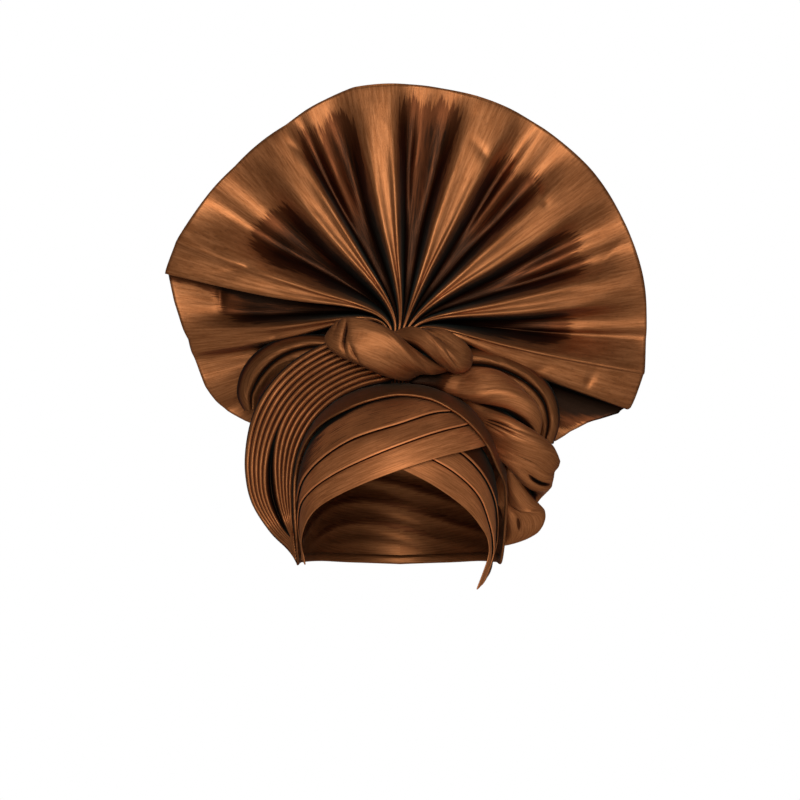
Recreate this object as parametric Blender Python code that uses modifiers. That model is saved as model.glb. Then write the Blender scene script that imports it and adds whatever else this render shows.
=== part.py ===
"""Tied gele head tie: a cap of shot taffeta with crossed brow pleats, a pleated side ruff,
a tall gathered fan, a two-lobed knot and a twisted roll that runs down behind the ear.

Metres, +Z up, the face looks along -Y and the viewer's right is +X. The origin is the middle of
the head opening at the height of the hatband, just above the brows.
"""

import math
from collections import namedtuple

import bmesh
import bpy
from mathutils import Vector

# Head that the cap is made for
HEAD_WIDTH = 0.1480
HEAD_LENGTH = 0.1880
HEAD_RISE = 0.0780
HEAD_FULLNESS = 2.2
JAW_NARROWING = 0.10

# Cloth
CLOTH_WALL = 0.0012
PLEAT_STEP = 0.0013
CROWN_WALL = 0.0015
FAN_WALL = 0.0012
RUFF_WALL = 0.0010
CLEARANCE = 0.0003
FACET_SAG = 0.0010

# Fan
FAN_REACH = 0.1940
FAN_PLEAT_DEPTH = 0.0270
FAN_RIM_WAVE = 0.0050
FAN_GATHER_WIDTH = 0.0280
FAN_GATHER_BOW = 0.0080
FAN_GATHER_DIRECTION = 66.0
FAN_GATHER_PULL = 0.60
FAN_FLARE_START = 0.0090
FAN_FLARE_END = 0.0460
HUB_SIDE = -0.0010
HUB_SETBACK = 0.0080
HUB_RISE = 0.0390

# Side ruff
RUFF_STAND = 0.0425
RUFF_PLEAT_DEPTH = 0.0070
RUFF_PLEATS = 10
RUFF_SEAT = 0.0002

# Knot and twisted roll
KNOT_LENGTH = 0.1060
KNOT_RADIUS = 0.0190
KNOT_DROP = 0.0170
KNOT_STANDOFF = 0.0028
LOBE_GAP = 0.0006
ROPE_RADIUS = 0.0205
STRAND_GAP = 0.0012
STRAND_FLATNESS = 0.86
STRAND_SQUARENESS = 2.2
STRAND_BLUNTNESS = 8

# Colours, as linear red, green and blue
COPPER = (0.31, 0.13, 0.05, 1.0)
SHADED_COPPER = (0.22, 0.09, 0.04, 1.0)
TAFFETA_ROUGHNESS = 0.38
TAFFETA_METALLIC = 0.45

# Mesh density
CROWN_COLUMNS = 48
CROWN_ROWS = 12
WRAP_ROWS = 16
FAN_STEM_ROWS = 2
FAN_ROWS = 11
FAN_ROW_SPREAD = 1.6
RUFF_ROWS = 20
KNOT_ROWS = 18
ROPE_ROWS = 36
STRAND_SIDES = 12
# How far along a line its direction is measured, as a share of the line, and how close two points
# of a welded end are
LINE_STEP = 0.01
WELD = 1e-6

# Layers over the head, counted outwards from the skin
RIGHT_WRAP_LIFT = CLOTH_WALL
LEFT_WRAP_LIFT = RIGHT_WRAP_LIFT + PLEAT_STEP + CLEARANCE + FACET_SAG + CLOTH_WALL
CROWN_LIFT = LEFT_WRAP_LIFT + PLEAT_STEP + CLEARANCE + FACET_SAG + CROWN_WALL
CROWN_TOP = HEAD_RISE + CROWN_LIFT
ON_CROWN = CROWN_LIFT + CLEARANCE

# How far a strand's squared section stands out past a plain oval at its corners
STRAND_BULGE = 2 ** (0.5 - 1 / STRAND_SQUARENESS)
# How far the knot's line stands in front of the fan's hub
KNOT_FORWARD = FAN_WALL + KNOT_STANDOFF + KNOT_RADIUS * STRAND_BULGE

# A place on the head: azimuth in degrees from the middle of the brow, towards the viewer's right,
# and height as a share of the head's rise above the hatband.
Spot = namedtuple("Spot", "azimuth height")
# A point of a pleat's section: share of the way across the pleat, and share of its height
PleatPoint = namedtuple("PleatPoint", "way height")

# Where the crown cap's rows of facets start, behind its top
CROWN_MIDDLE = Spot(180, 0.90)
# The crown cap's edge, from the nape round the viewer's right, over the brow and down the left.
CROWN_EDGE = [
    Spot(180, -0.64), Spot(150, -0.62), Spot(128, -0.60), Spot(110, -0.60), Spot(97, -0.58),
    Spot(91, -0.20), Spot(83, 0.06), Spot(69, 0.25), Spot(62, 0.46), Spot(55, 0.62),
    Spot(45, 0.76), Spot(28, 0.87), Spot(-4, 0.90), Spot(-33, 0.84), Spot(-52, 0.74),
    Spot(-68, 0.62), Spot(-78, 0.45), Spot(-82, 0.22), Spot(-82, -0.06), Spot(-82, -0.36),
    Spot(-86, -0.60), Spot(-106, -0.60), Spot(-128, -0.60), Spot(-150, -0.62), Spot(-180, -0.64),
]

# One row for each fold line of a brow wrap, lowest first. Spot by spot a line runs from the ear
# over the forehead for the left wrap, and from the forehead down to the cheek for the right one.
LEFT_WRAP_FOLDS = [
    [Spot(-75, -0.64), Spot(-76, -0.50), Spot(-70, -0.33), Spot(-55, -0.13), Spot(-30, 0.06),
     Spot(0, 0.25), Spot(28, 0.38), Spot(66, 0.47)],
    [Spot(-82, -0.60), Spot(-84, -0.38), Spot(-76, -0.12), Spot(-59, 0.05), Spot(-30, 0.28),
     Spot(1, 0.48), Spot(28, 0.60), Spot(61, 0.67)],
    [Spot(-89, -0.54), Spot(-91, -0.24), Spot(-80, -0.02), Spot(-65, 0.20), Spot(-33, 0.51),
     Spot(1, 0.67), Spot(27, 0.76), Spot(55, 0.78)],
    [Spot(-98, -0.46), Spot(-99, -0.08), Spot(-89, 0.22), Spot(-72, 0.54), Spot(-38, 0.84),
     Spot(0, 0.93), Spot(28, 0.92), Spot(50, 0.88)],
]
RIGHT_WRAP_FOLDS = [
    [Spot(-12, 0.36), Spot(2, 0.26), Spot(20, 0.11), Spot(41, -0.11), Spot(54, -0.28),
     Spot(64, -0.43), Spot(67, -0.62), Spot(59, -0.90)],
    [Spot(4, 0.48), Spot(20, 0.36), Spot(36, 0.21), Spot(53, -0.01), Spot(64, -0.24),
     Spot(74, -0.42), Spot(81, -0.58), Spot(68, -0.80)],
    [Spot(24, 0.58), Spot(40, 0.43), Spot(53, 0.27), Spot(67, 0.05), Spot(78, -0.14),
     Spot(87, -0.32), Spot(93, -0.48), Spot(80, -0.71)],
    [Spot(42, 0.70), Spot(58, 0.58), Spot(68, 0.40), Spot(80, 0.14), Spot(92, -0.10),
     Spot(101, -0.28), Spot(106, -0.42), Spot(93, -0.62)],
]
# A band of a brow wrap, from its fold line up to where it slips under the next band
WRAP_BAND = [PleatPoint(0.00, 1.00), PleatPoint(0.45, 0.60), PleatPoint(0.94, 0.00)]

# The side ruff's stations from the ear to the knot. The inner line lies on the crown cap, and the
# outer line stands off it by a share of the ruff's stand. Heights are shares of the local rise.
RuffStation = namedtuple(
    "RuffStation", "inner_azimuth inner_height inner_stand outer_azimuth outer_height outer_stand"
)
RUFF = [
    RuffStation(-84, -0.57, 0.00, -84, -0.63, 0.08),
    RuffStation(-85, -0.39, 0.00, -85, -0.44, 0.20),
    RuffStation(-86, -0.20, 0.00, -86, -0.23, 0.46),
    RuffStation(-86, 0.00, 0.00, -87, -0.05, 0.72),
    RuffStation(-86, 0.18, 0.00, -87, 0.13, 0.85),
    RuffStation(-86, 0.38, 0.00, -87, 0.33, 0.93),
    RuffStation(-86, 0.58, 0.00, -86, 0.53, 0.99),
    RuffStation(-84, 0.76, 0.00, -85, 0.70, 1.00),
    RuffStation(-77, 0.89, 0.00, -82, 0.84, 0.98),
    RuffStation(-60, 0.96, 0.04, -76, 0.94, 0.95),
    RuffStation(-28, 0.99, 0.12, -68, 0.98, 0.88),
]

# The fan's crests, from the viewer's lower right round the top to the lower left: direction in
# degrees above the viewer's right, reach of the crest and of the valley after it as shares of
# FAN_REACH, height of the crest and of the small crest in that valley as shares of the pleat
# depth, and how far the crest leans to one side, in degrees.
FanCrest = namedtuple("FanCrest", "direction reach valley_reach crest valley_crest lean")
FAN_CRESTS = [
    FanCrest(-35, 0.76, 0.84, 0.36, 0.10, 0.0),
    FanCrest(-17, 0.98, 1.00, 1.00, 0.20, -2.5),
    FanCrest(12, 1.00, 1.01, 0.95, 0.34, -1.0),
    FanCrest(38, 1.01, 1.00, 1.00, 0.36, 0.0),
    FanCrest(65, 1.00, 0.99, 1.00, 0.30, 0.0),
    FanCrest(94, 1.00, 0.98, 1.00, 0.34, 0.5),
    FanCrest(123, 0.95, 0.95, 1.00, 0.26, -1.0),
    FanCrest(159, 0.95, 0.93, 1.00, 0.22, 1.5),
    FanCrest(182, 0.84, 0.82, 0.80, 0.16, 1.0),
    FanCrest(198, 0.80, 0.76, 0.52, 0.12, 0.0),
    FanCrest(212, 0.70, 0.70, 0.28, 0.10, 0.0),
]
# How far the fan leans back at each direction, as a slope in degrees
FanLean = namedtuple("FanLean", "direction slope")
FAN_LEAN = [FanLean(-40, 19), FanLean(0, 12), FanLean(90, 6), FanLean(160, 11), FanLean(215, 24)]
# One side of a fan pleat, from its crest down to the valley
PLEAT_SIDE = [
    PleatPoint(0.00, 1.00), PleatPoint(0.14, 0.92), PleatPoint(0.25, 0.34), PleatPoint(0.37, 0.00),
]

# The knot and the roll are each two strands twisted round one line. Girths are shares of the
# radius, and the turn is in degrees. A knot station is measured from the knot's middle in shares
# of KNOT_LENGTH. A roll station stands off the crown cap by a share of the roll's radius.
KnotStation = namedtuple("KnotStation", "across forward rise girth other_girth turn")
KNOT = [
    KnotStation(-0.50, -0.10, 0.14, 0.50, 0.20, 60),
    KnotStation(-0.39, -0.02, 0.10, 0.92, 0.36, 74),
    KnotStation(-0.23, 0.00, 0.06, 1.06, 0.56, 86),
    KnotStation(-0.02, 0.00, 0.01, 1.00, 0.80, 105),
    KnotStation(0.20, -0.02, 0.00, 0.80, 0.86, 168),
    KnotStation(0.39, -0.06, -0.03, 0.56, 0.66, 225),
    KnotStation(0.51, -0.12, -0.06, 0.26, 0.36, 250),
]
RopeStation = namedtuple("RopeStation", "azimuth height stand girth other_girth turn")
ROPE = [
    RopeStation(66, 0.970, 0.34, 0.32, 0.28, 80),
    RopeStation(76, 0.895, 0.50, 0.56, 0.42, 68),
    RopeStation(79, 0.757, 0.77, 0.88, 0.64, 42),
    RopeStation(80, 0.550, 1.00, 0.88, 0.92, -20),
    RopeStation(85, 0.360, 1.02, 0.66, 1.04, -92),
    RopeStation(91, 0.170, 0.86, 0.62, 0.98, -158),
    RopeStation(103, 0.000, 0.91, 0.84, 0.66, -236),
    RopeStation(108, -0.190, 0.74, 0.72, 0.44, -298),
    RopeStation(114, -0.430, 0.38, 0.34, 0.28, -340),
]


def smooth(values, share):
    """The value at a share of the way along a list, on a smooth curve through all of it."""
    last = len(values) - 1
    place = min(max(share, 0.0), 1.0) * last
    i = min(int(place), last - 1)
    t = place - i
    here, after = values[i], values[i + 1]
    before = values[i - 1] if i > 0 else here * 2 - after
    beyond = values[i + 2] if i + 2 <= last else after * 2 - here
    return (
        here * 2
        + (after - before) * t
        + (before * 2 - here * 5 + after * 4 - beyond) * t**2
        + (here * 3 - before - after * 3 + beyond) * t**3
    ) * 0.5


def smooth_row(rows, share):
    """The row at a share of the way down a table, each column on its own smooth curve."""
    return type(rows[0])(*(smooth(column, share) for column in zip(*rows)))


def ramp(low, high, value):
    """0 below low, 1 above high, and a soft step between them."""
    t = min(max((value - low) / (high - low), 0.0), 1.0)
    return t * t * (3 - 2 * t)


def girth_share(height):
    """How wide the head is at a height, as a share of its width at the hatband."""
    if height < 0:
        return 1 - JAW_NARROWING * height**2
    return max(0.0, 1 - height**HEAD_FULLNESS) ** (1 / HEAD_FULLNESS)


def on_head(azimuth, height, lift):
    """A point over the head, lift outside the skin. Height is a share of the head's rise there."""
    turn = math.radians(azimuth)
    girth = girth_share(height)
    return Vector((
        (HEAD_WIDTH / 2 + lift) * girth * math.sin(turn),
        -(HEAD_LENGTH / 2 + lift) * girth * math.cos(turn),
        (HEAD_RISE + lift) * height,
    ))


def over_head(direction, lift):
    """The point over the head, lift outside the skin, in a direction from the origin."""
    radius = math.hypot(direction.x / (HEAD_WIDTH / 2 + lift), direction.y / (HEAD_LENGTH / 2 + lift))
    height = direction.z / (HEAD_RISE + lift)
    if height > 0:
        return direction / (radius**HEAD_FULLNESS + height**HEAD_FULLNESS) ** (1 / HEAD_FULLNESS)
    # Below the hatband girth_share is a parabola, so the point is a root of a quadratic
    return direction * 2 / (radius + math.sqrt(radius**2 + 4 * JAW_NARROWING * height**2))


def hub():
    """Where the fan's pleats are gathered, above the front of the crown cap."""
    return Vector((HUB_SIDE, -HUB_SETBACK, CROWN_TOP + HUB_RISE))


def crown_height(x, y):
    """The height of the crown cap's outside over a place on the hatband's plane."""
    share = math.hypot(x / (HEAD_WIDTH / 2 + CROWN_LIFT), y / (HEAD_LENGTH / 2 + CROWN_LIFT))
    return CROWN_TOP * max(0.0, 1 - share**HEAD_FULLNESS) ** (1 / HEAD_FULLNESS)


def taffeta(name, colour):
    material = bpy.data.materials.new(name)
    material.use_nodes = True
    shader = material.node_tree.nodes["Principled BSDF"]
    shader.inputs["Base Color"].default_value = colour
    shader.inputs["Roughness"].default_value = TAFFETA_ROUGHNESS
    shader.inputs["Metallic"].default_value = TAFFETA_METALLIC
    material.diffuse_color = colour
    return material


def surface_object(name, surface, columns, rows, material, collection, welded=False):
    """A named object whose grid of columns by rows is laid on surface(across, along)."""
    bm = bmesh.new()
    bmesh.ops.create_grid(bm, x_segments=columns, y_segments=rows, size=0.5)
    for vertex in bm.verts:
        vertex.co = surface(vertex.co.x + 0.5, vertex.co.y + 0.5)
    if welded:
        bmesh.ops.remove_doubles(bm, verts=bm.verts, dist=WELD)
    mesh = bpy.data.meshes.new(name)
    bm.to_mesh(mesh)
    bm.free()
    mesh.materials.append(material)
    mesh.shade_smooth()
    obj = bpy.data.objects.new(name, mesh)
    collection.objects.link(obj)
    return obj


def give_wall(obj, wall):
    """Makes an open sheet a closed shell, with its wall on the inner side."""
    solidify = obj.modifiers.new("wall", "SOLIDIFY")
    solidify.thickness = wall
    solidify.offset = -1


def crown_cap(material, collection):
    """The shell over the head, from a point behind its top out to the edge all round."""
    middle = on_head(*CROWN_MIDDLE, CROWN_LIFT)

    def surface(across, along):
        edge = on_head(*smooth_row(CROWN_EDGE, across), CROWN_LIFT)
        direction = middle.normalized().slerp(edge.normalized(), along)
        return over_head(direction, CROWN_LIFT)

    cap = surface_object(
        "crown_cap", surface, CROWN_COLUMNS, CROWN_ROWS, material, collection, welded=True
    )
    give_wall(cap, CROWN_WALL)


def brow_wrap(name, folds, base_lift, material, collection):
    """A pleated panel over the brow: each band rises to its fold line and steps back under it."""
    bands = len(folds) - 1
    columns = bands * len(WRAP_BAND)

    def surface(across, along):
        place = round(across * columns)
        i, k = divmod(place, len(WRAP_BAND))
        if i == bands:
            i, point = bands - 1, PleatPoint(1.0, 0.0)
        else:
            point = WRAP_BAND[k]
        low = smooth_row(folds[i], along)
        high = smooth_row(folds[i + 1], along)
        azimuth = low.azimuth + (high.azimuth - low.azimuth) * point.way
        height = low.height + (high.height - low.height) * point.way
        return on_head(azimuth, height, base_lift + PLEAT_STEP * point.height)

    wrap = surface_object(name, surface, columns, WRAP_ROWS, material, collection)
    give_wall(wrap, CLOTH_WALL)


def side_ruff(material, collection):
    """The crescent of narrow pleats, folded like a paper fan between its inner and outer lines."""
    base_lift = ON_CROWN + RUFF_SEAT

    def line(along, outer):
        row = smooth_row(RUFF, along)
        if outer:
            return on_head(row.outer_azimuth, row.outer_height, base_lift + RUFF_STAND * row.outer_stand)
        return on_head(row.inner_azimuth, row.inner_height, base_lift + RUFF_STAND * row.inner_stand)

    def surface(across, along):
        inner, outer = line(along, False), line(along, True)
        ahead, behind = min(along + LINE_STEP, 1.0), max(along - LINE_STEP, 0.0)
        run = (line(ahead, False) + line(ahead, True)) - (line(behind, False) + line(behind, True))
        facing = (outer - inner).cross(run).normalized()
        crest = 1 - abs((across * RUFF_PLEATS) % 1 * 2 - 1)
        depth = RUFF_PLEAT_DEPTH * min(1.0, (outer - inner).length / RUFF_STAND) ** 2
        return inner.lerp(outer, across) + facing * depth * (crest - 0.5)

    ruff = surface_object("side_ruff", surface, 2 * RUFF_PLEATS, RUFF_ROWS, material, collection)
    give_wall(ruff, RUFF_WALL)


def fan_lean(direction):
    """The slope at which the fan leans back in a direction, between the rows of FAN_LEAN."""
    for low, high in zip(FAN_LEAN, FAN_LEAN[1:]):
        if direction <= high.direction:
            t = (direction - low.direction) / (high.direction - low.direction)
            return low.slope + (high.slope - low.slope) * max(t, 0.0)
    return FAN_LEAN[-1].slope


def pleat_profile():
    """One pleat from crest to crest, as (way, height, share of the small crest in the valley)."""
    down = [(p.way, p.height, 0.0) for p in PLEAT_SIDE]
    up = [(1 - p.way, p.height, 0.0) for p in reversed(PLEAT_SIDE)]
    return down + [(0.5, 0.0, 1.0)] + up[:-1]


def fan(material, collection):
    """The gathered fan: deep pleats at the hub that open out and flatten towards the rim."""
    profile = pleat_profile()
    pleats = len(FAN_CRESTS) - 1
    columns = pleats * len(profile)
    reaches = [reach for row in FAN_CRESTS for reach in (row.reach, row.valley_reach)][:-1]
    centre = hub()

    def surface(across, along):
        place = round(across * columns)
        i, k = divmod(place, len(profile))
        if i == pleats:
            i, way, height, small = pleats - 1, 1.0, 1.0, 0.0
        else:
            way, height, small = profile[k]
        here, after = FAN_CRESTS[i], FAN_CRESTS[i + 1]
        crest = here.crest + (after.crest - here.crest) * way
        direction = here.direction + (after.direction - here.direction) * way
        direction += height * (here.lean if way < 0.5 else after.lean)
        reach = FAN_REACH * smooth(reaches, (i + way) / pleats)
        rise = (height + here.valley_crest * small) * crest
        side = 1 - 2 * (i + way) / pleats
        foot = crown_height(centre.x + side * FAN_GATHER_WIDTH / 2, centre.y + FAN_GATHER_BOW * side**2)
        stem = centre.z - foot - CLEARANCE
        row = along * FAN_ROWS - FAN_STEM_ROWS
        if row < 0:
            radius = stem * row / FAN_STEM_ROWS
        else:
            radius = reach * (row / (FAN_ROWS - FAN_STEM_ROWS)) ** FAN_ROW_SPREAD
        spread = max(radius, 0.0)
        flare = ramp(FAN_FLARE_START, FAN_FLARE_END, radius)
        depth = flare * (FAN_PLEAT_DEPTH * math.sqrt(max(0.0, 1 - (spread / reach) ** 2)) + FAN_RIM_WAVE)
        pull = math.exp(-spread / FAN_GATHER_WIDTH)
        turn = direction + (FAN_GATHER_DIRECTION - direction) * FAN_GATHER_PULL * pull
        turn = math.radians(turn)
        return Vector((
            side * pull * FAN_GATHER_WIDTH / 2 + spread * math.cos(turn),
            spread * math.tan(math.radians(fan_lean(direction)))
            + FAN_GATHER_BOW * side**2 * (1 - flare)
            - depth * (rise - 0.5),
            spread * math.sin(turn) + min(radius, 0.0),
        ))

    gathered = surface_object("fan", surface, columns, FAN_ROWS, material, collection)
    gathered.location = centre
    give_wall(gathered, FAN_WALL)


def strand(name, rows, line, gap, girth, turn, side, material, collection):
    """One of two strands twisted round a line. side is 1 for the first and -1 for the second."""
    power = 2 / STRAND_SQUARENESS

    def surface(across, along):
        run = (line(min(along + LINE_STEP, 1.0)) - line(max(along - LINE_STEP, 0.0))).normalized()
        outer = run.cross(Vector((0, 1, 0))).normalized()
        front = run.cross(outer)
        angle = math.radians(turn(along))
        out = (outer * math.cos(angle) + front * math.sin(angle)) * side
        flank = run.cross(out)
        size = girth(along) * math.sqrt(max(0.0, 1 - (2 * along - 1) ** STRAND_BLUNTNESS))
        around = 2 * math.pi * across
        out_share = math.copysign(abs(math.cos(around)) ** power, math.cos(around))
        flank_share = math.copysign(abs(math.sin(around)) ** power, math.sin(around))
        return (
            line(along)
            + out * (gap / 2 + size / 2 * (1 + out_share))
            + flank * (size * STRAND_FLATNESS * flank_share)
        )

    return surface_object(name, surface, STRAND_SIDES, rows, material, collection, welded=True)


def knot(material, collection):
    """The knot's two lobes, side by side across the front of the hub."""
    centre = hub() + Vector((0, -KNOT_FORWARD, -KNOT_DROP))

    def line(along):
        row = smooth_row(KNOT, along)
        return centre + Vector((row.across, -row.forward, row.rise)) * KNOT_LENGTH

    def turn(along):
        return smooth_row(KNOT, along).turn

    def left_girth(along):
        return KNOT_RADIUS * smooth_row(KNOT, along).girth

    def right_girth(along):
        return KNOT_RADIUS * smooth_row(KNOT, along).other_girth

    strand("knot_left_lobe", KNOT_ROWS, line, LOBE_GAP, left_girth, turn, 1, material, collection)
    strand("knot_right_lobe", KNOT_ROWS, line, LOBE_GAP, right_girth, turn, -1, material, collection)


def rope(material, collection):
    """The twisted roll's two strands, from beside the knot down behind the ear."""

    def line(along):
        row = smooth_row(ROPE, along)
        return on_head(row.azimuth, row.height, ON_CROWN + ROPE_RADIUS * row.stand)

    def turn(along):
        return smooth_row(ROPE, along).turn

    def front_girth(along):
        return ROPE_RADIUS * smooth_row(ROPE, along).girth

    def back_girth(along):
        return ROPE_RADIUS * smooth_row(ROPE, along).other_girth

    strand("rope_strand_front", ROPE_ROWS, line, STRAND_GAP, front_girth, turn, 1, material, collection)
    strand("rope_strand_back", ROPE_ROWS, line, STRAND_GAP, back_girth, turn, -1, material, collection)


def main():
    for obj in list(bpy.data.objects):
        bpy.data.objects.remove(obj)
    collection = bpy.data.collections.new("gele_head_tie")
    bpy.context.scene.collection.children.link(collection)
    copper = taffeta("copper_taffeta", COPPER)
    shaded = taffeta("shaded_taffeta", SHADED_COPPER)
    crown_cap(shaded, collection)
    brow_wrap("brow_wrap_left", LEFT_WRAP_FOLDS, LEFT_WRAP_LIFT, copper, collection)
    brow_wrap("brow_wrap_right", RIGHT_WRAP_FOLDS, RIGHT_WRAP_LIFT, copper, collection)
    side_ruff(copper, collection)
    fan(copper, collection)
    knot(copper, collection)
    rope(copper, collection)


if __name__ == "__main__":
    main()
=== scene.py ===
"""Tied gele head tie in copper shot taffeta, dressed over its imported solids.

Metres, +Z up, the front looks along -Y and the viewer's right is +X. The origin is the middle of
the head opening at the height of the hatband.
"""

import math
from collections import namedtuple

import bmesh
import bpy
import numpy as np
from bpy.props import FloatProperty, FloatVectorProperty, IntProperty, PointerProperty
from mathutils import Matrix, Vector


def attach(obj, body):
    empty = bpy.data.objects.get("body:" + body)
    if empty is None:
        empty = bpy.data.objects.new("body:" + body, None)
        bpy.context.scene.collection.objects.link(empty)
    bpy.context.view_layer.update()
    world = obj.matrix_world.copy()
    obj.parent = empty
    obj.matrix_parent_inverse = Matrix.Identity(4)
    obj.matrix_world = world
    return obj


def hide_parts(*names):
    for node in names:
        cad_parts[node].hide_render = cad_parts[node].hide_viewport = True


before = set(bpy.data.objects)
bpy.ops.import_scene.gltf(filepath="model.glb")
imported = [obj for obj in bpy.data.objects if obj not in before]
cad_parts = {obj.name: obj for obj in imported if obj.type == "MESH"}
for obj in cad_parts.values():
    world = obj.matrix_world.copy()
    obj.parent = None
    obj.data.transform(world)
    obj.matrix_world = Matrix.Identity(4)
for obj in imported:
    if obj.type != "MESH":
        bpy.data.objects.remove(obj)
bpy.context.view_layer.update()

bl_info = {
    "name": "Gele head tie",
    "version": (1, 0, 0),
    "blender": (4, 5, 0),
    "location": "View3D > Sidebar > Gele",
    "description": "Makes the cloth pieces of a tied gele head tie and a plain studio stage",
    "category": "Add Mesh",
}


def table(names, *rows):
    """Rows with named columns."""
    kind = namedtuple("Row", names)
    return [kind(*row) for row in rows]


BODY = "root"
BACK = np.array([0.0, 1.0, 0.0])

# The form that the cloth is wrapped round
HEAD_WIDTH = 0.1480
HEAD_LENGTH = 0.1880
HEAD_RISE = 0.0780
HEAD_FULLNESS = 2.2
JAW_NARROWING = 0.10

# How far each layer stands off that form
RIGHT_WRAP_LIFT = 0.0012
LEFT_WRAP_LIFT = 0.0050
ROLL_LIFT = 0.0067
CROWN_LIFT = 0.0093
RUFF_LIFT = 0.0100

# Edges that are rolled under: the roll's radius, and the return behind it
CROWN_ROLL = 0.0011
CROWN_RETURN = 0.0060
WRAP_ROLL = 0.0005
WRAP_RETURN = 0.0040

# Drape of the cap: depth and spacing of its soft folds
DRAPE_DEPTH = 0.0014
DRAPE_SPACING = 0.0170

# The gap between the ruff's inner and outer pleats, as shares of its width, and how far its middle
# stands forward
RUFF_SPLIT = 0.50
RUFF_SPLIT_EDGE = 0.02
RUFF_GAP = 0.13
RUFF_CROWNING = 0.0040

# Where the fan's pleats are gathered, how wide and how far bowed back, and the direction that they
# turn to there
HUB = (-0.0010, -0.0080, 0.1261)
GATHER_WIDTH = 0.0280
GATHER_BOW = 0.0080
GATHER_DIRECTION = 66.0
GATHER_PULL = 0.60
FLARE_START = 0.0090
FLARE_END = 0.0460
# Rows of the stem below the gathers, how much the rows widen towards the rim, and the width of
# cloth in a pleat
FAN_STEM = (-0.040, -0.030, -0.020, -0.012, -0.005)
FAN_ROW_SPREAD = 1.35
PLEAT_CLOTH = 0.052

# The knot in front of the gathers, and the twisted roll. The section of a lobe's solid is squarer
# than a circle, so its corners bulge further out than its radius.
KNOT_STANDOFF = 0.0040
KNOT_DROP = 0.0170
KNOT_SQUARENESS = 2.2
KNOT_BULGE = 2 ** (0.5 - 1 / KNOT_SQUARENESS)
ROLL_PLUMPNESS = 1.14
STRAND_FLATNESS = 0.86

# How fine the grids of points are, the step that a line's direction is taken over, and how near
# two points are when they are welded
CROWN_ROWS, CROWN_COLUMNS = 90, 421
WRAP_COLUMNS = 150
RUFF_ROWS, RIB_COLUMNS = 170, 22
FAN_ROWS, PLEAT_COLUMNS = 104, 40
EDGE_ROWS, EDGE_ROLLS, EDGE_ROLL_COLUMNS = 140, 2, 26
STRAND_ROWS, STRAND_COLUMNS = 220, 96
LINE_STEP = 0.01
WELD = 2e-5

# The stage
FLOOR_RADIUS = 1.2
FLOOR_HEIGHT = -0.36
CAMERA_DISTANCE = 4.0
CAMERA_HEIGHT = 0.0736
VIEW_WIDTH = 0.620
LIGHT_SIZE = 1.2
LIGHT_AIM = (0.0, 0.0, 0.12)
LIGHTS = table(
    "name place power",
    ("key", (-0.10, -2.9, 0.80), 54.0), ("fill", (1.7, -2.4, 0.3), 12.0),
    ("top", (0.0, 0.6, 2.2), 8.0),
)

# The taffeta's looks: brightness, which is painted light and shade as the one cloth is made
# lighter or darker piece by piece, scale of the slubs, how much duller than satin, and how
# strongly russet clouds show
TAFFETAS = table(
    "name brightness slub_scale matte clouding",
    ("cap taffeta", 0.62, 1.0, 0.00, 0.25), ("brow taffeta", 1.55, 1.0, 0.15, 0.55),
    ("ruff taffeta", 0.95, 1.0, 0.00, 0.25), ("fan taffeta", 1.00, 1.0, 0.00, 0.25),
    ("turned edge taffeta", 0.66, 1.0, 0.00, 0.25), ("knot taffeta", 0.84, 1.1, 0.08, 0.25),
    ("roll taffeta", 1.20, 1.1, 0.06, 0.25),
)

# A place on the form: azimuth in degrees from the middle of its front, towards the viewer's right,
# and height as a share of the form's rise above the hatband
SPOT = "azimuth height"
CROWN_MIDDLE = (180, 0.90)
CROWN_EDGE = table(
    SPOT,
    (180, -0.64), (150, -0.62), (128, -0.60), (110, -0.60), (97, -0.58), (91, -0.20), (83, 0.06),
    (69, 0.25), (62, 0.46), (55, 0.62), (45, 0.76), (28, 0.87), (-4, 0.90), (-33, 0.84),
    (-52, 0.74), (-68, 0.62), (-78, 0.45), (-82, 0.22), (-82, -0.06), (-82, -0.36), (-86, -0.60),
    (-106, -0.60), (-128, -0.60), (-150, -0.62), (-180, -0.64),
)

# Fold lines of the brow wraps, lowest first, with the place that each slips under last
LEFT_WRAP_FOLDS = [
    table(SPOT, (-75, -0.64), (-76, -0.50), (-70, -0.33), (-55, -0.13), (-30, 0.06), (0, 0.25),
          (28, 0.38), (66, 0.47)),
    table(SPOT, (-82, -0.60), (-84, -0.38), (-76, -0.12), (-59, 0.05), (-30, 0.28), (1, 0.48),
          (28, 0.60), (61, 0.67)),
    table(SPOT, (-89, -0.54), (-91, -0.24), (-80, -0.02), (-65, 0.20), (-33, 0.51), (1, 0.67),
          (27, 0.76), (55, 0.78)),
    table(SPOT, (-98, -0.46), (-99, -0.08), (-89, 0.22), (-72, 0.54), (-38, 0.84), (0, 0.93),
          (28, 0.92), (50, 0.88)),
]
RIGHT_WRAP_FOLDS = [
    table(SPOT, (-12, 0.36), (2, 0.26), (20, 0.11), (41, -0.11), (54, -0.28), (64, -0.43),
          (67, -0.62), (59, -0.90)),
    table(SPOT, (4, 0.48), (20, 0.36), (36, 0.21), (53, -0.01), (64, -0.24), (73, -0.44),
          (76, -0.63), (65, -0.86)),
    table(SPOT, (24, 0.58), (40, 0.43), (53, 0.27), (67, 0.05), (78, -0.14), (86, -0.34),
          (87, -0.54), (74, -0.78)),
    table(SPOT, (42, 0.70), (58, 0.58), (68, 0.40), (80, 0.14), (92, -0.10), (101, -0.30),
          (100, -0.48), (85, -0.70)),
]
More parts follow.
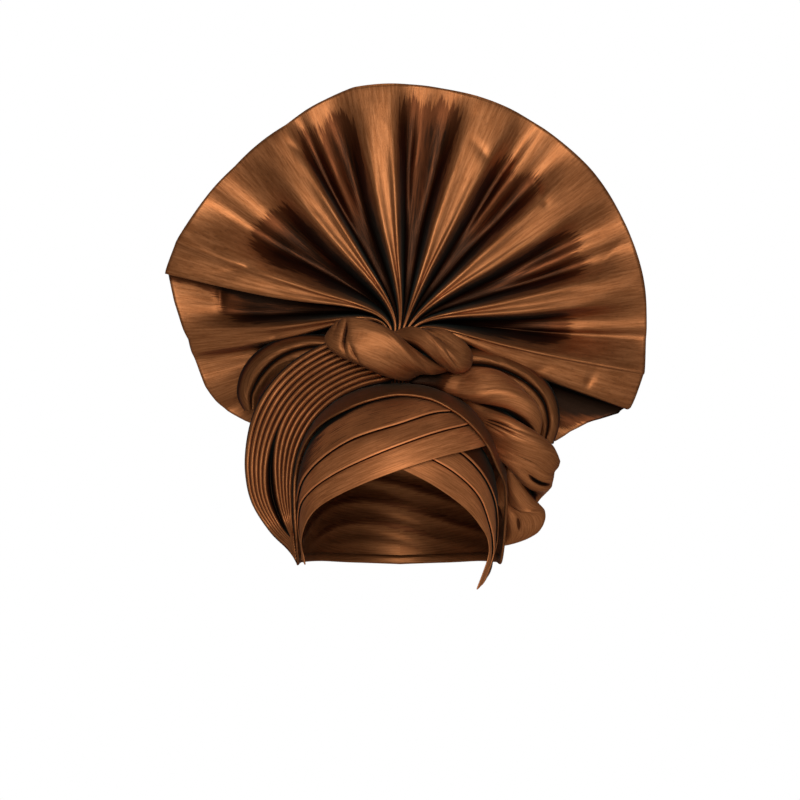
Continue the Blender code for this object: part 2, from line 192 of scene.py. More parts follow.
# The brow wraps: how far the top pleat goes on under the cap, which end of the lines is the tip,
# and how much deeper in shade each pleat lies
BROW_WRAPS = table(
    "name folds lift beyond tip seed flat deeper",
    ("brow_wrap_left", LEFT_WRAP_FOLDS, LEFT_WRAP_LIFT, 0.25, 0, 11.0, (0.215, 0.105),
     (0.0, 0.12, 0.34)),
    ("brow_wrap_right", RIGHT_WRAP_FOLDS, RIGHT_WRAP_LIFT, 0.10, 1, 17.0, (0.155, 0.078),
     (0.0, 0.12, 0.58)),
)

# The side ruff from its lower end to the knot: its inner line on the cap and its outer line off it
RUFF = table(
    "inner_azimuth inner_height inner_stand outer_azimuth outer_height outer_stand",
    (-82, -0.36, 0.00, -74, -0.57, 0.03),
    (-84, -0.29, 0.00, -80, -0.43, 0.14),
    (-86, -0.17, 0.00, -86, -0.25, 0.43),
    (-86, 0.00, 0.00, -87, -0.05, 0.72),
    (-86, 0.18, 0.00, -87, 0.13, 0.85),
    (-86, 0.38, 0.00, -87, 0.33, 0.93),
    (-86, 0.58, 0.00, -86, 0.53, 0.99),
    (-84, 0.76, 0.00, -85, 0.70, 1.00),
    (-77, 0.89, 0.00, -82, 0.84, 0.98),
    (-60, 0.96, 0.01, -76, 0.94, 0.95),
    (-24, 0.99, 0.03, -68, 0.98, 0.88),
)

# The fan's crests and the small crest in the valley after each: directions in degrees above the
# viewer's right, heights as shares of the pleat depth, the crest's lean to one side in degrees,
# how far out the valley's painted shade reaches, and how sharp the crest stays at the rim
FAN_CRESTS = table(
    "direction valley_direction crest valley_crest lean shadow edge",
    (-35, -28, 0.36, 0.05, 0.0, 1.00, 0.0),
    (-3.5, 1, 1.00, 0.20, -7.0, 0.72, 1.0),
    (13, 24, 0.95, 0.34, -1.5, 0.82, 0.0),
    (38, 54, 1.00, 0.40, 0.0, 0.84, 0.1),
    (65, 84, 1.00, 0.30, 1.0, 0.96, 0.3),
    (94, 112, 1.00, 0.40, 0.5, 0.94, 0.2),
    (124, 141, 1.00, 0.14, -1.5, 0.76, 0.2),
    (152, 170, 1.00, 0.12, 8.5, 0.80, 1.0),
    (181, 190, 0.84, 0.10, 2.0, 0.70, 0.3),
    (199, 205, 0.52, 0.10, 1.0, 0.72, 0.0),
    (212, 212, 0.28, 0.10, 0.0, 0.50, 0.0),
)
# Small creases near the rim: length along the fold, width and depth in metres, and tilt from the
# fold in degrees
FAN_CREASES = table(
    "direction reach length width depth tilt",
    (168, 0.78, 0.012, 0.0030, 0.0030, 78),
    (-7, 0.80, 0.011, 0.0026, 0.0030, 82),
    (-11, 0.56, 0.014, 0.0034, 0.0026, 40),
    (62, 0.78, 0.016, 0.0032, 0.0015, 62),
    (45, 0.79, 0.010, 0.0026, 0.0024, 70),
    (150, 0.70, 0.016, 0.0040, 0.0020, 30),
    (120, 0.86, 0.014, 0.0036, 0.0018, 20),
    (190, 0.62, 0.014, 0.0032, 0.0022, 66),
    (20, 0.88, 0.016, 0.0040, 0.0016, 30),
)
# The fan's rim: direction in degrees, and reach as a share of the fan's reach
FAN_RIM = table(
    "direction reach",
    (-35, 0.767), (-30, 0.800), (-25, 0.850), (-19.5, 0.945), (-12, 0.972), (0, 0.999),
    (20, 1.011), (40, 1.013), (60, 1.003), (80, 0.995), (100, 0.999), (110, 0.975), (120, 0.947),
    (135, 0.939), (150, 0.955), (165, 0.961), (172, 0.915), (180, 0.847), (195, 0.811),
    (205, 0.760), (212, 0.700),
)
# How many degrees the fan leans back in each direction
FAN_LEAN = table("direction slope", (-40, 19), (0, 12), (90, 6), (160, 11), (215, 24))

# Turned-back edges of the fan, each a path of soft rolls: place across and above the hatband, and
# set back from it, with the rolls' width and depth, all in metres
ROLL_PATH = "across back up width depth"
FAN_EDGES = table(
    "name seed flat path",
    ("fan_right_edge", 53.0, (0.170, 0.041), table(
        ROLL_PATH,
        (0.004, -0.016, 0.092, 0.012, 0.0030), (0.030, -0.013, 0.100, 0.020, 0.0050),
        (0.062, -0.007, 0.102, 0.026, 0.0065), (0.088, -0.001, 0.092, 0.028, 0.0070),
        (0.106, 0.005, 0.076, 0.027, 0.0065), (0.113, 0.010, 0.058, 0.022, 0.0055),
        (0.112, 0.014, 0.040, 0.014, 0.0030),
    )),
    ("fan_left_edge", 59.0, (0.125, 0.042), table(
        ROLL_PATH,
        (-0.030, -0.010, 0.108, 0.014, 0.0030), (-0.062, -0.003, 0.113, 0.022, 0.0050),
        (-0.090, 0.004, 0.108, 0.026, 0.0065), (-0.108, 0.010, 0.096, 0.026, 0.0070),
        (-0.117, 0.015, 0.080, 0.020, 0.0060), (-0.116, 0.018, 0.066, 0.010, 0.0030),
    )),
)

# Sections of one fold, from one valley or crest to the next: way across, and height
FOLD = "way height"
FAN_RIDGE = table(
    FOLD,
    (0.000, 0.93), (0.060, 0.95), (0.100, 0.99), (0.135, 1.00), (0.175, 0.88), (0.220, 0.58),
    (0.275, 0.26), (0.335, 0.08), (0.410, 0.02), (0.500, 0.00),
)
FAN_MINOR_RIDGE = table(
    FOLD, (0.000, 0.00), (0.270, 0.00), (0.350, 0.16), (0.430, 0.66), (0.470, 0.93), (0.500, 1.00)
)
RUFF_RIB = table(FOLD, (0.000, 0.00), (0.035, 0.24), (0.110, 0.60), (0.250, 0.90), (0.500, 1.00))
SOFT_FOLD = table(FOLD, (0.000, 0.00), (0.120, 0.16), (0.300, 0.74), (0.500, 1.00))
NO_FOLD = table(FOLD, (0.000, 0.00), (0.500, 0.00))

# The lines that the knot and the roll are twisted round. Places are shares of the knot's length or
# spots on the head, girths are shares of the strand's radius, and turns are in degrees.
KNOT = table(
    "across forward rise girth other_girth turn",
    (-0.50, -0.10, 0.14, 0.50, 0.20, 60),
    (-0.39, -0.02, 0.10, 0.92, 0.36, 74),
    (-0.23, 0.00, 0.06, 1.06, 0.60, 84),
    (-0.02, 0.00, 0.01, 1.00, 0.86, 112),
    (0.20, -0.02, 0.00, 0.78, 0.96, 192),
    (0.39, -0.06, -0.03, 0.56, 0.86, 252),
    (0.53, -0.12, -0.06, 0.26, 0.48, 268),
)
ROPE = table(
    "azimuth height stand girth other_girth turn",
    (30, 0.990, 0.16, 0.14, 0.12, 90),
    (66, 0.970, 0.34, 0.32, 0.28, 80),
    (76, 0.895, 0.50, 0.56, 0.42, 68),
    (79, 0.757, 0.77, 0.88, 0.64, 42),
    (80, 0.550, 1.00, 0.88, 0.92, -20),
    (85, 0.360, 1.02, 0.66, 1.04, -92),
    (91, 0.200, 0.86, 0.64, 0.96, -162),
    (102, 0.025, 0.90, 0.92, 0.68, -240),
    (107, -0.180, 0.78, 0.84, 0.48, -298),
    (114, -0.430, 0.38, 0.34, 0.28, -340),
)
# The strands, each with its column of girths and its pinched creases: places along and around it
# as shares, length and width, depth in metres, and tilt in turns
STRAND = "name girth side seed creases"
CREASE = "along around length width depth tilt"
KNOT_STRANDS = table(
    STRAND,
    ("knot_left_lobe", "girth", 1, 31.0, table(
        CREASE, (0.20, 0.02, 0.16, 0.014, 0.0026, 0.22), (0.28, 0.12, 0.10, 0.014, 0.0022, 0.17),
        (0.12, 0.92, 0.10, 0.016, 0.0018, 0.22),
    )),
    ("knot_right_lobe", "other_girth", -1, 37.0, table(
        CREASE, (0.70, 0.03, 0.060, 0.016, 0.0026, -0.06),
        (0.80, 0.10, 0.050, 0.020, 0.0018, 0.05),
    )),
)
ROLL_STRANDS = table(
    STRAND,
    ("rope_strand_front", "girth", 1, 41.0, table(
        CREASE, (0.47, 0.00, 0.030, 0.050, 0.0034, 0.25), (0.88, 0.05, 0.040, 0.030, 0.0020, 0.02),
    )),
    ("rope_strand_back", "other_girth", -1, 43.0, table(
        CREASE, (0.65, 0.11, 0.045, 0.024, 0.0044, 0.06),
        (0.42, 0.76, 0.045, 0.010, 0.0032, -0.03), (0.43, 0.81, 0.050, 0.010, 0.0032, 0.03),
        (0.41, 0.86, 0.040, 0.010, 0.0026, 0.09),
    )),
)
# What the two strands of a twist share: the gap between them, how square their section is, their
# folds' spiral and depth, and how much painted shadow the first end gets where it is tucked in
Twist = namedtuple("Twist", "gap fullness spiral fold_depth tucked")
KNOT_TWIST = Twist(0.0004, 3.0, 0.6, 0.0008, 0.0)
ROLL_TWIST = Twist(0.0006, 2.4, 1.0, 0.0010, 0.9)


# Numbers along the tables


def smooth(values, share):
    """Values at shares of the way along a list, on a smooth curve through all of it."""
    values = np.asarray(values, dtype=float)
    last = len(values) - 1
    place = np.clip(share, 0.0, 1.0) * last
    i = np.minimum(place.astype(int), last - 1)
    t = place - i
    ends = np.concatenate((
        [2 * values[0] - values[1]], values, [2 * values[-1] - values[-2]]
    ))
    before, here, after, beyond = (ends[i + k] for k in range(4))
    return 0.5 * (
        2 * here
        + (after - before) * t
        + (2 * before - 5 * here + 4 * after - beyond) * t**2
        + (3 * here - before - 3 * after + beyond) * t**3
    )


def follow(rows, share):
    """A table's columns at shares of the way along it, on smooth curves through its rows."""
    return type(rows[0])(*(smooth(values, share) for values in zip(*rows)))


def columns(rows):
    """A table's columns as arrays."""
    return type(rows[0])(*np.array(rows, dtype=float).T)


def ramp(low, high, value):
    t = np.clip((value - low) / (high - low), 0.0, 1.0)
    return t * t * (3 - 2 * t)


def unit(vectors):
    return vectors / np.maximum(np.linalg.norm(vectors, axis=-1, keepdims=True), 1e-12)


def stack(*parts):
    return np.stack(np.broadcast_arrays(*parts), axis=-1).astype(float)


def on_head(azimuth, height, lift):
    """Points over the form, lift outside it."""
    turn = np.radians(azimuth)
    height = np.asarray(height, dtype=float)
    low = 1 - JAW_NARROWING * height**2
    high = np.maximum(1 - np.abs(height) ** HEAD_FULLNESS, 0.0) ** (1 / HEAD_FULLNESS)
    girth = np.where(height < 0, low, high)
    return stack(
        (HEAD_WIDTH / 2 + lift) * girth * np.sin(turn),
        -(HEAD_LENGTH / 2 + lift) * girth * np.cos(turn),
        (HEAD_RISE + lift) * height,
    )


def over_head(direction, lift):
    """The points over the form, lift outside it, in directions from the origin."""
    x, y, z = direction[..., 0], direction[..., 1], direction[..., 2]
    radius = np.hypot(x / (HEAD_WIDTH / 2 + lift), y / (HEAD_LENGTH / 2 + lift))
    height = z / (HEAD_RISE + lift)
    high = (radius**HEAD_FULLNESS + np.abs(height) ** HEAD_FULLNESS) ** (-1 / HEAD_FULLNESS)
    low = 2 / (radius + np.sqrt(radius**2 + 4 * JAW_NARROWING * height**2))
    return direction * np.where(height > 0, high, low)[..., None]


def azimuths(points):
    """Degrees from the middle of the front, towards the viewer's right."""
    return np.degrees(np.arctan2(points[..., 0], -points[..., 1]))


def run_lengths(points, axis):
    """How far along the cloth each grid point lies, in metres."""
    steps = np.linalg.norm(np.diff(points, axis=axis), axis=-1)
    start = np.zeros_like(np.take(steps, [0], axis=axis))
    return np.cumsum(np.concatenate((start, steps), axis=axis), axis=axis)


def rolled_edge(start, run, out, roll, back):
    """Rows that roll an edge under: a half turn, then a short return under the cloth."""
    out = unit(out - run * np.sum(out * run, axis=-1, keepdims=True))
    turns = np.radians([30, 60, 90, 120, 150, 180])
    rows = [start + roll * (math.sin(t) * run - (1 - math.cos(t)) * out) for t in turns]
    return rows + [rows[-1] - run * back / 2, rows[-1] - run * back]


# Node trees written as expressions


class Term:
    """A socket in an expression: sums on it add their Math nodes to its tree."""

    def __init__(self, tree, socket):
        self.tree = tree
        self.socket = socket

    def math(self, operation, *values):
        return self.tree.add("ShaderNodeMath", {"operation": operation}, dict(enumerate(values)))

    def __add__(self, other):
        return self.math("ADD", self, other)

    def __sub__(self, other):
        return self.math("SUBTRACT", self, other)

    def __rsub__(self, other):
        return self.math("SUBTRACT", other, self)

    def __mul__(self, other):
        return self.math("MULTIPLY", self, other)

    def __truediv__(self, other):
        return self.math("DIVIDE", self, other)

    __radd__ = __add__
    __rmul__ = __mul__

    def between(self, low, high):
        """0 below low, 1 above high."""
        settings = {"interpolation_type": "SMOOTHSTEP"}
        values = {"Value": self, "From Min": low, "From Max": high}
        return self.tree.add("ShaderNodeMapRange", settings, values)


class Tree:
    """A node tree that is written node by node."""

    def __init__(self, tree):
        self.tree = tree

    def add(self, kind, settings=None, values=None, output=0):
        """Adds a node, sets its settings, then its sockets' values or links."""
        node = self.tree.nodes.new(kind)
        for name, value in (settings or {}).items():
            if name == "stops":
                set_stops(node, value)
            else:
                setattr(node, name, value)
        for name, value in (values or {}).items():
            self.put(node.inputs[name], value)
        return Term(self, node.outputs[output])

    def put(self, socket, value):
        if isinstance(value, Term):
            self.tree.links.new(value.socket, socket)
        else:
            socket.default_value = value

    def mix(self, share, low, high, kind="RGBA"):
        first, second, result = {"RGBA": (6, 7, 2), "FLOAT": (2, 3, 0)}[kind]
        values = {0: share, first: low, second: high}
        return self.add("ShaderNodeMix", {"data_type": kind}, values, output=result)

    def part(self, vector, axis):
        return self.add("ShaderNodeSeparateXYZ", None, {0: vector}, output=axis)

    def vector_math(self, operation, values, output=0):
        return self.add("ShaderNodeVectorMath", {"operation": operation}, values, output)


def set_stops(node, stops):
    """Lays a curve node's points on a section that is the same on both sides of its middle."""
    curve = node.mapping.curves[0]
    both = list(stops) + [(1 - stop.way, stop.height) for stop in stops[-2::-1]]
    while len(curve.points) < len(both):
        curve.points.new(0.5, 0.5)
    for point, place in zip(curve.points, both):
        point.location = tuple(place)
    node.mapping.update()


# The tree that folds cloth

# Marks that the tree reads at each point of a sheet, the numbers with what a piece gives by default
# The shadow and crevice numbers set how much painted shade a point gets
FOLD_NUMBERS = {"phase": 0.0, "crumple": 1.0, "ease": 0.0, "shadow": 0.0, "crevice": 0.0}
FOLD_VECTORS = ("laid", "out", "push", "swell")
# Small wrinkles, in metres
Wrinkles = namedtuple("Wrinkles", "depth length width seed")


def fold_tree(name, ridge, minor_ridge):
    """Geometry Nodes that push a laid-out sheet along its folds and crumple it a little."""
    group = bpy.data.node_groups.new(name, "GeometryNodeTree")
    sockets = (
        ("Sheet", "INPUT", "Geometry"), ("Wrinkle depth", "INPUT", "Float"),
        ("Wrinkle length", "INPUT", "Float"), ("Wrinkle width", "INPUT", "Float"),
        ("Seed", "INPUT", "Float"), ("Cloth", "INPUT", "Material"),
        ("Sheet", "OUTPUT", "Geometry"),
    )
    for label, way, kind in sockets:
        group.interface.new_socket(label, in_out=way, socket_type="NodeSocket" + kind)
    tree = Tree(group)
    start = group.nodes.new("NodeGroupInput")
    given = {socket.name: Term(tree, socket) for socket in start.outputs if socket.name}

    def attribute(label, kind):
        return tree.add("GeometryNodeInputNamedAttribute", {"data_type": kind}, {"Name": label})

    marks = {label: attribute(label, "FLOAT") for label in FOLD_NUMBERS}
    marks.update({label: attribute(label, "FLOAT_VECTOR") for label in FOLD_VECTORS})
    push, swell, laid = marks["push"], marks["swell"], marks["laid"]

    phase = marks["phase"]
    phase = phase.math("FRACT", phase)
    sharp = tree.add("ShaderNodeFloatCurve", {"stops": ridge}, {"Value": phase})
    angle = phase * 2 * math.pi
    soft = angle.math("COSINE", angle) * 0.5 + 0.5
    height = tree.mix(marks["ease"], sharp, soft, "FLOAT")
    small = tree.add("ShaderNodeFloatCurve", {"stops": minor_ridge}, {"Value": phase})

    across = tree.part(laid, 0) / given["Wrinkle width"]
    along = tree.part(laid, 1) / given["Wrinkle length"]
    place = tree.add("ShaderNodeCombineXYZ", None, {0: across, 1: along, 2: given["Seed"]})
    noise = tree.add("ShaderNodeTexNoise", {"noise_dimensions": "3D"}, {
        "Vector": place, "Scale": 1.0, "Detail": 3.0, "Roughness": 0.45, "Distortion": 0.6,
    })
    wrinkle = (noise - 0.5) * given["Wrinkle depth"] * marks["crumple"] * 2.0

    moves = [
        tree.vector_math("SCALE", {0: vector, "Scale": share})
        for vector, share in ((push, height), (swell, small), (marks["out"], wrinkle))
    ]
    offset = tree.vector_math("ADD", {0: moves[0], 1: moves[1]})
    offset = tree.vector_math("ADD", {0: offset, 1: moves[2]})
    depth, swollen = (tree.vector_math("LENGTH", {0: vector}, 1) for vector in (push, swell))
    share = small * (swollen / (depth + 1e-6)) * 1.3
    # Painted shade: valleys darkened by the shadow mark, small crests less, plus the crevice mark
    hollow = (1 - height - share) * marks["shadow"] + marks["crevice"]
    result = tree.add(
        "GeometryNodeSetPosition", None, {"Geometry": given["Sheet"], "Offset": offset}
    )
    result = tree.add(
        "GeometryNodeStoreNamedAttribute", {"data_type": "FLOAT", "domain": "POINT"},
        {"Geometry": result, "Name": "hollow", "Value": hollow},
    )
    result = tree.add("GeometryNodeRealizeInstances", None, {"Geometry": result})
    result = tree.add(
        "GeometryNodeSetMaterial", None, {"Geometry": result, "Material": given["Cloth"]}
    )
    tree.put(group.nodes.new("NodeGroupOutput").inputs[0], result)
    return group


def linked(name, mesh):
    obj = bpy.data.objects.new(name, mesh)
    bpy.context.scene.collection.objects.link(obj)
    return obj


def laid_sheet(name, points, laid, marks):
    """A mesh object on a grid of points, with its cloth lengths as a UV map and its marks."""
    index = np.arange(points[..., 0].size).reshape(points.shape[:2])
    quads = np.stack(
        (index[:-1, :-1], index[:-1, 1:], index[1:, 1:], index[1:, :-1]), axis=-1
    ).reshape(-1, 4)
    mesh = bpy.data.meshes.new(name)
    mesh.from_pydata(points.reshape(-1, 3), [], quads.tolist())
    uv = mesh.uv_layers.new(name="cloth")
    corners = np.empty(len(mesh.loops), dtype=np.int32)
    mesh.loops.foreach_get("vertex_index", corners)
    uv.data.foreach_set("uv", laid.reshape(-1, 2)[corners].ravel())
    marks = {"laid": stack(laid[..., 0], laid[..., 1], 0.0), **marks}
    for label, plain_value in FOLD_NUMBERS.items():
        values = np.zeros(points.shape[:2]) + marks.get(label, plain_value)
        attribute = mesh.attributes.new(label, "FLOAT", "POINT")
        attribute.data.foreach_set("value", values.ravel().astype(np.float32))
    for label in FOLD_VECTORS:
        values = np.zeros(points.shape) + marks.get(label, 0.0)
        attribute = mesh.attributes.new(label, "FLOAT_VECTOR", "POINT")
        attribute.data.foreach_set("vector", values.ravel().astype(np.float32))
    return linked(name, mesh)


def folded(name, points, laid, marks, group, wrinkles, material, welded=False):
    """Runs the folding tree on a laid sheet and returns the result as a plain piece."""
    sheet = laid_sheet(name + "_laid", points, laid, marks)
    nodes = sheet.modifiers.new("folds", "NODES")
    nodes.node_group = group
    inputs = {
        item.name: item.identifier for item in group.interface.items_tree if item.in_out == "INPUT"
    }
    labels = ("Wrinkle depth", "Wrinkle length", "Wrinkle width", "Seed", "Cloth")
    for label, value in zip(labels, (*wrinkles, material)):
        nodes[inputs[label]] = value
    bpy.context.view_layer.update()
    graph = bpy.context.evaluated_depsgraph_get()
    mesh = bpy.data.meshes.new_from_object(
        sheet.evaluated_get(graph), preserve_all_data_layers=True, depsgraph=graph
    )
    bpy.data.objects.remove(sheet)
    if welded:
        bm = bmesh.new()
        bm.from_mesh(mesh)
        bmesh.ops.remove_doubles(bm, verts=bm.verts, dist=WELD)
        bmesh.ops.recalc_face_normals(bm, faces=bm.faces)
        bm.to_mesh(mesh)
        bm.free()
    for label in (*FOLD_NUMBERS, *FOLD_VECTORS):
        if label in mesh.attributes:
            mesh.attributes.remove(mesh.attributes[label])
    mesh.name = name
    mesh.shade_smooth()
    return linked(name, mesh)


def joined(name, parts):
    """Several pieces of one cloth as one object."""
    bm = bmesh.new()
    for part in parts:
        bm.from_mesh(part.data)
    mesh = bpy.data.meshes.new(name)
    bm.to_mesh(mesh)
    bm.free()
    mesh.materials.append(parts[0].data.materials[0])
    mesh.shade_smooth()
    for part in parts:
        bpy.data.objects.remove(part)
    return linked(name, mesh)


# Materials


def rgba(colour, brightness=1.0):
    return tuple(value * brightness for value in colour[:3]) + (1.0,)


def shot_taffeta(name):
    """Copper taffeta shot with a dark weft: slub streaks along the folds, painted shade in the
    hollows.
    """
    look = next(row for row in TAFFETAS if row.name == name)
    colours = bpy.context.scene.gele_colours
    material = bpy.data.materials.new(name)
    material.use_nodes = True
    tree = Tree(material.node_tree)
    shader = material.node_tree.nodes["Principled BSDF"]
    cloth = tree.add("ShaderNodeUVMap", {"uv_map": "cloth"})
    hollow = tree.add("ShaderNodeAttribute", {"attribute_name": "hollow"}, output=2)

    def streaks(across, along, detail, roughness=0.5):
        scale = (across * look.slub_scale, along * look.slub_scale, 1.0)
        place = tree.add("ShaderNodeMapping", None, {"Vector": cloth, "Scale": scale})
        values = {"Vector": place, "Scale": 1.0, "Detail": detail, "Roughness": roughness}
        return tree.add("ShaderNodeTexNoise", {"noise_dimensions": "2D"}, values)

    slub = streaks(950.0, 42.0, 3.0, 0.6)
    thread = streaks(2600.0, 260.0, 2.0)
    weft = streaks(160.0, 2100.0, 2.0)
    cloud = streaks(26.0, 9.0, 2.0)
    # Brightness is painted light and shade: each piece's copy of the cloth is lighter or darker
    copper, glow = (rgba(value, look.brightness) for value in (colours.copper, colours.glow))
    shade, russet = rgba(colours.shade), rgba(colours.russet)
    lit = tree.mix(slub.between(0.30, 0.75), copper, glow)
    lit = tree.mix(cloud.between(0.42, 0.72) * look.clouding, lit, russet)
    lit = tree.mix(thread.between(0.50, 0.78) * 0.22, lit, shade)
    # A painted highlight brightens fold edges. Painted shade turns the copper russet on the way
    # into the hollows, and nearly black in them.
    sunk = hollow + (slub - 0.5) * 0.64
    depth = sunk.between(0.30, 0.80)
    painted_edge_highlight = hollow.between(-0.10, -0.60)
    lit = tree.mix(painted_edge_highlight * 0.75, lit, rgba(glow, 1.5))
    colour = tree.mix(sunk.between(0.32, 0.50), lit, russet)
    colour = tree.mix(sunk.between(0.60, 1.10) * 0.89, colour, shade)
    tree.put(shader.inputs["Base Color"], colour)
    roughness = slub * 0.14 + cloud * 0.08 + (colours.gloss + look.matte)
    tree.put(shader.inputs["Roughness"], roughness)
    tree.put(shader.inputs["Metallic"], 0.80 + depth * 0.20)
    relief = slub * 0.55 + thread * 0.30 + weft * 0.15
    bump_values = {"Strength": 0.40, "Distance": 0.0004, "Height": relief}
    tree.put(shader.inputs["Normal"], tree.add("ShaderNodeBump", None, bump_values))
    for label, value in (
        ("Sheen Weight", 0.04), ("Sheen Roughness", 0.40), ("Sheen Tint", (0.25, 0.45, 0.40, 1.0)),
        ("Specular IOR Level", 0.30), ("Specular Tint", (0.45, 0.26, 0.15, 1.0)),
    ):
        shader.inputs[label].default_value = value
    material.diffuse_color = copper
    return material


def pale_floor(name, colour):
    material = bpy.data.materials.new(name)
    material.use_nodes = True
    tree = Tree(material.node_tree)
    shader = material.node_tree.nodes["Principled BSDF"]
    place = tree.add("ShaderNodeTexCoord", output=3)
    speckle = tree.add("ShaderNodeTexNoise", None, {"Vector": place, "Scale": 9.0, "Detail": 4.0})
    tree.put(shader.inputs["Base Color"], tree.mix(speckle, rgba(colour), rgba(colour, 0.96)))
    shader.inputs["Roughness"].default_value = 0.85
    return material


# Sizes and colours that a user would change


def length(name, description, default):
    return FloatProperty(name=name, description=description, default=default, unit="LENGTH")


def colour(name, description, default):
    return FloatVectorProperty(
        name=name, description=description, default=default, subtype="COLOR"
    )


class GeleSizes(bpy.types.PropertyGroup):
    fan_reach: length("Fan reach", "From the knot to the fan's rim", 0.1940)
    fan_depth: length("Pleat depth", "Depth of the fan's pleats near the knot", 0.0270)
    rim_wave: length("Rim wave", "Depth of the pleats left at the fan's rim", 0.0050)
    ruff_ribs: IntProperty(
        name="Ruff ribs", description="Narrow pleats in the side ruff", default=10
    )
    ruff_stand: length("Ruff stand", "How far the ruff stands off the cap", 0.0425)
    rib_depth: length("Rib depth", "Depth of the ruff's pleats", 0.0072)
    pleat_step: length("Pleat step", "Rise of one brow pleat over the next", 0.0020)
    knot_length: length("Knot length", "Knot from end to end", 0.1060)
    knot_radius: length("Knot radius", "Half the thickness of a knot lobe", 0.0190)
    roll_radius: length("Roll radius", "Half the thickness of a strand of the roll", 0.0205)
    cloth_wall: length("Cloth wall", "Thickness of the taffeta with its fold", 0.0006)


class GeleColours(bpy.types.PropertyGroup):
    copper: colour("Copper", "Warp of the shot taffeta", (0.274, 0.095, 0.031))
    # Glow is also, made half as bright again, the painted highlight on fold edges
    glow: colour("Glow", "Lit slubs of the shot taffeta", (0.415, 0.159, 0.058))
    # Shade is the colour of the darkest threads, and also the painted shade in the hollows and
    # crevices
    shade: colour("Shade", "Dark weft that shows in the hollows", (0.0095, 0.0070, 0.0050))
    russet: colour("Russet", "Half-shaded copper beside the hollows", (0.092, 0.028, 0.010))
    gloss: FloatProperty(name="Gloss", description="Roughness of the satin face", default=0.34)
    floor: colour("Floor", "Studio floor", (0.80, 0.79, 0.77))


def finish_sheet(obj, wall, nodes):
    """Gives a sheet its wall, hangs it on the body and hides the solids that it stands in for."""
    solidify = obj.modifiers.new("wall", "SOLIDIFY")
    solidify.thickness = wall
    solidify.offset = -1
    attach(obj, BODY)
    if nodes:
        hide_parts(*nodes)


# The pieces


class GELE_OT_crown_cap(bpy.types.Operator):
    """Makes the cap, with its rolled edge over the brow wraps"""

    bl_idname = "gele.crown_cap"
    bl_label = "Crown cap"

    def execute(self, context):
        sizes = context.scene.gele_sizes
        face = np.linspace(0, 1, CROWN_ROWS)
        middle = unit(on_head(*CROWN_MIDDLE, CROWN_LIFT))
        edge = follow(CROWN_EDGE, np.linspace(0, 1, CROWN_COLUMNS))
        direction = unit(on_head(*edge, CROWN_LIFT))
        angle = np.arccos(np.clip(direction @ middle, -1, 1))
        share = face[:, None] * angle[None, :]
        spread = (
            np.sin(angle - share)[..., None] * middle + np.sin(share)[..., None] * direction
        ) / np.sin(angle)[None, :, None]
        points = over_head(spread, CROWN_LIFT)
        out = unit(points)
        run = unit(points[-1] - points[-2])
        rows = rolled_edge(points[-1], run, out[-1], CROWN_ROLL, CROWN_RETURN)
        points = np.concatenate((points, np.array(rows)))
        out = np.concatenate((out, np.repeat(out[-1:], len(rows), axis=0)))
        along = np.concatenate((face, np.ones(len(rows))))[:, None]
        azimuth = azimuths(points)
        turn = np.radians(azimuth)
        # Soft folds run back from the sides, and stop at the seam behind
        behind = ramp(62, 120, np.abs(azimuth))
        behind = behind * ramp(1.0, 0.85, along) * ramp(0.02, 0.25, along)
        seam = ramp(180, 160, np.abs(azimuth))
        sweep = points[..., 2] / DRAPE_SPACING + 2.4 * np.cos(turn) + 0.5 * np.sin(3 * turn)
        # Painted shade in the soft folds' valleys at the sides and back, through the shadow mark
        marks = {
            "out": out, "phase": sweep, "push": out * (DRAPE_DEPTH * behind)[..., None],
            "crumple": seam * (0.35 + 0.65 * behind), "shadow": 0.5 * behind,
        }
        laid = stack(run_lengths(points, 0), turn * 0.09)
        group = fold_tree("Wrapped folds", SOFT_FOLD, NO_FOLD)
        wrinkles = Wrinkles(0.0005, 0.060, 0.012, 3.0)
        cloth = shot_taffeta("cap taffeta")
        obj = folded("crown_cap_cloth", points, laid, marks, group, wrinkles, cloth, welded=True)
        finish_sheet(
            obj, sizes.cloth_wall, ["crown_cap"],
        )
        return {"FINISHED"}


def pleated_bands(wrap, step):
    """Knife pleats between fold lines: each has a rolled lower edge and slips under the next.

    At the tip they are pressed flat on each other. Returns each band's points and painted shading.
    """
    along = np.linspace(0, 1, WRAP_COLUMNS)
    step = step * (1 - 0.85 * ramp(0.24, 0.06, np.abs(along - wrap.tip)))
    lines = [np.array(follow(line, along)) for line in wrap.folds]
    bands = []
    for i, (low, high) in enumerate(zip(lines, lines[1:])):
        reach = 1.0 + (wrap.beyond if i == len(lines) - 2 else 0.16)
        # Face of the pleat, from its fold up to where it slips under the next one
        ways = np.concatenate((np.linspace(0, 0.1, 5)[:-1], np.linspace(0.1, reach, 22)))
        face = np.array([
            on_head(*(low + (high - low) * way), wrap.lift + step * max(0.0, 1 - way) ** 0.8)
            for way in ways
        ])
        width = np.linalg.norm(face[-1] - face[0], axis=-1)[:, None]
        roll, back = np.minimum(WRAP_ROLL, 0.05 * width), np.minimum(WRAP_RETURN, 0.30 * width)
        edge = rolled_edge(face[0], unit(face[0] - face[1]), unit(face[0]), roll, back)
        # Painted highlight along the fold, less on the lowest one, painted shade under the roll,
        # and painted shadow where the next pleat covers it
        painted_edge_highlight = 0.8 if i else 0.15
        tucked = ramp(0.90, 1.00, ways) - painted_edge_highlight * ramp(0.07, 0.02, ways)
        shade = np.concatenate((np.full(5, 0.5), np.full(3, -painted_edge_highlight), tucked))
        bands.append((np.concatenate((np.array(edge[::-1]), face)), shade))
    return bands


